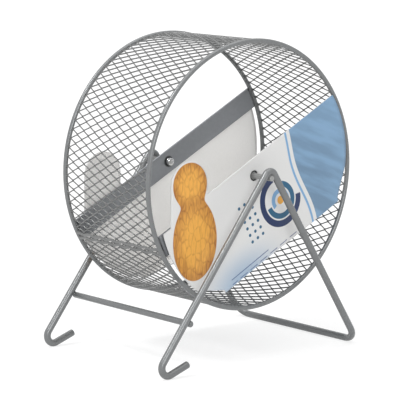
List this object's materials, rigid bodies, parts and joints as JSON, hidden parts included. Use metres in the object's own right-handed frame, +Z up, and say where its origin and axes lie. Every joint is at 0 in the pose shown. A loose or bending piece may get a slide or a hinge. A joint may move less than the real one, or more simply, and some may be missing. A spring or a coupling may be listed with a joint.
{
  "type": "rodent exercise wheel",
  "caption": "Rodent exercise wheel: a rolled diamond-mesh drum with wire rims and flat crossbars spins on stub axles of a bent-wire stand with hooked feet, wrapped in a folded card sleeve.",
  "frame": {"origin": "on the floor, under the middle of the object's box; the axle is 1.2 mm to +X of it and 102.9 mm up", "axes": "+Z up, +Y from the front to the back along the axle, +X to the right, towards the floor bar, seen from the front"},
  "size_m": [0.1548, 0.1062, 0.1791],
  "materials": {
    "stand_paint": "grey hammered enamel, semi-gloss",
    "axle_paint": "grey enamel on steel rod",
    "cap_steel": "bright plated steel",
    "mesh_paint": "grey enamel on expanded steel mesh",
    "drum_paint": "grey enamel on steel wire",
    "crossbar_paint": "grey enamel on flat steel strip",
    "bush_paint": "grey enamel on turned steel",
    "printed_card": "white coated card with a printed pattern"
  },
  "bodies": {
    "stand": {"stand_wire": "stand_paint", "cross_rod": "stand_paint", "front_axle_stub": "axle_paint", "rear_axle_stub": "axle_paint", "front_axle_cap": "cap_steel", "rear_axle_cap": "cap_steel"},
    "wheel": {"running_mesh": "mesh_paint", "front_rim": "drum_paint", "rear_rim": "drum_paint", "front_crossbar": "crossbar_paint", "rear_crossbar": "crossbar_paint", "front_bush": "bush_paint", "rear_bush": "bush_paint", "card_sleeve": "printed_card"}
  },
  "joints": [
    {"name": "wheel_spin", "type": "hinge", "parent": "stand", "child": "wheel", "pos_m": [0.00116, 0, 0.1029], "axis": [0, 1, 0], "continuous": true}
  ]
}
